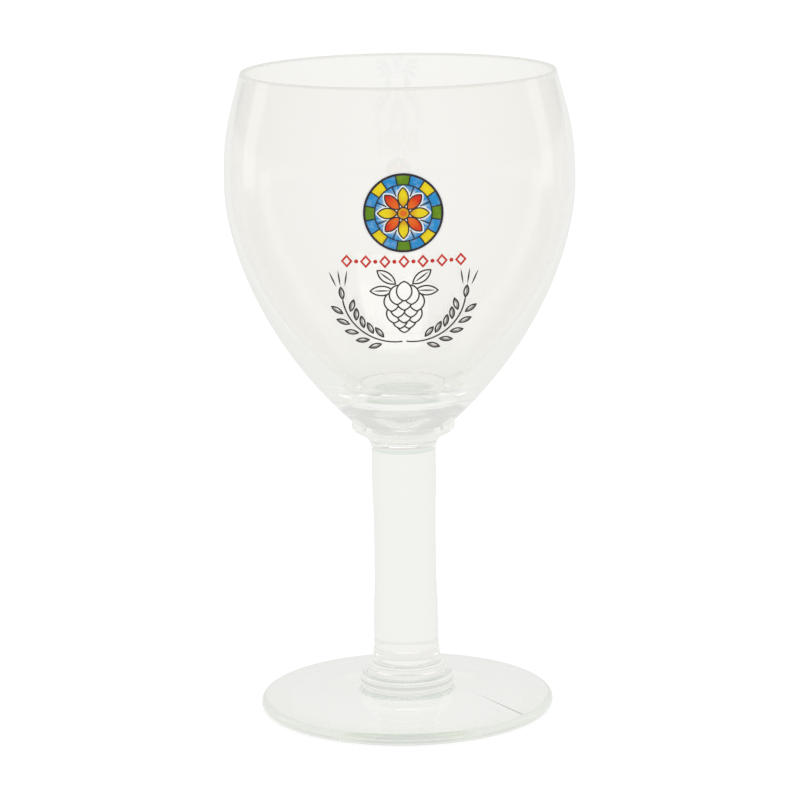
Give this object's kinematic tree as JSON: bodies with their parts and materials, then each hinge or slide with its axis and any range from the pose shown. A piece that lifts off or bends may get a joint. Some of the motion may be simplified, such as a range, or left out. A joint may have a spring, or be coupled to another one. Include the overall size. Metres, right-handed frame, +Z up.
{
  "type": "chalice beer glass",
  "caption": "Stemmed chalice beer glass with a deep drawn-in bowl, bead collar, solid stem, stepped foot collar and flat round foot, with a small enamel decoration.",
  "frame": {"origin": "on the table, at the middle of the foot's resting ring, under the glass's axis", "axes": "+Z up along the axis of the stem, -Y towards the decorated front, +X to the right seen from the front"},
  "size_m": [0.0944, 0.0944, 0.176],
  "materials": {
    "bowl": "clear soda-lime glass, fire-polished, very slight grey-green tint",
    "collar": "clear soda-lime glass, fire-polished, very slight grey-green tint",
    "stem": "clear soda-lime glass, fire-polished, very slight grey-green tint",
    "foot_collar": "clear soda-lime glass, fire-polished, very slight grey-green tint",
    "foot": "clear soda-lime glass, fire-polished, very slight grey-green tint",
    "print_key_line": "near-black fired enamel, slightly glossy",
    "print_blue": "bright blue fired enamel, slightly glossy",
    "print_white": "white fired enamel, slightly glossy",
    "print_yellow": "yellow fired enamel, slightly glossy",
    "print_red": "orange-red fired enamel, slightly glossy",
    "print_green": "green fired enamel, slightly glossy",
    "print_red_chain": "red fired enamel, slightly glossy",
    "print_outline": "dark brown-grey fired enamel, slightly glossy",
    "print_grey": "half-tone grey fired enamel, slightly glossy"
  },
  "bodies": {
    "root": {"bowl": "bowl", "collar": "collar", "stem": "stem", "foot_collar": "foot_collar", "foot": "foot", "print_key_line": "print_key_line", "print_blue": "print_blue", "print_white": "print_white", "print_yellow": "print_yellow", "print_red": "print_red", "print_green": "print_green", "print_red_chain": "print_red_chain", "print_outline": "print_outline", "print_grey": "print_grey"}
  },
  "joints": []
}
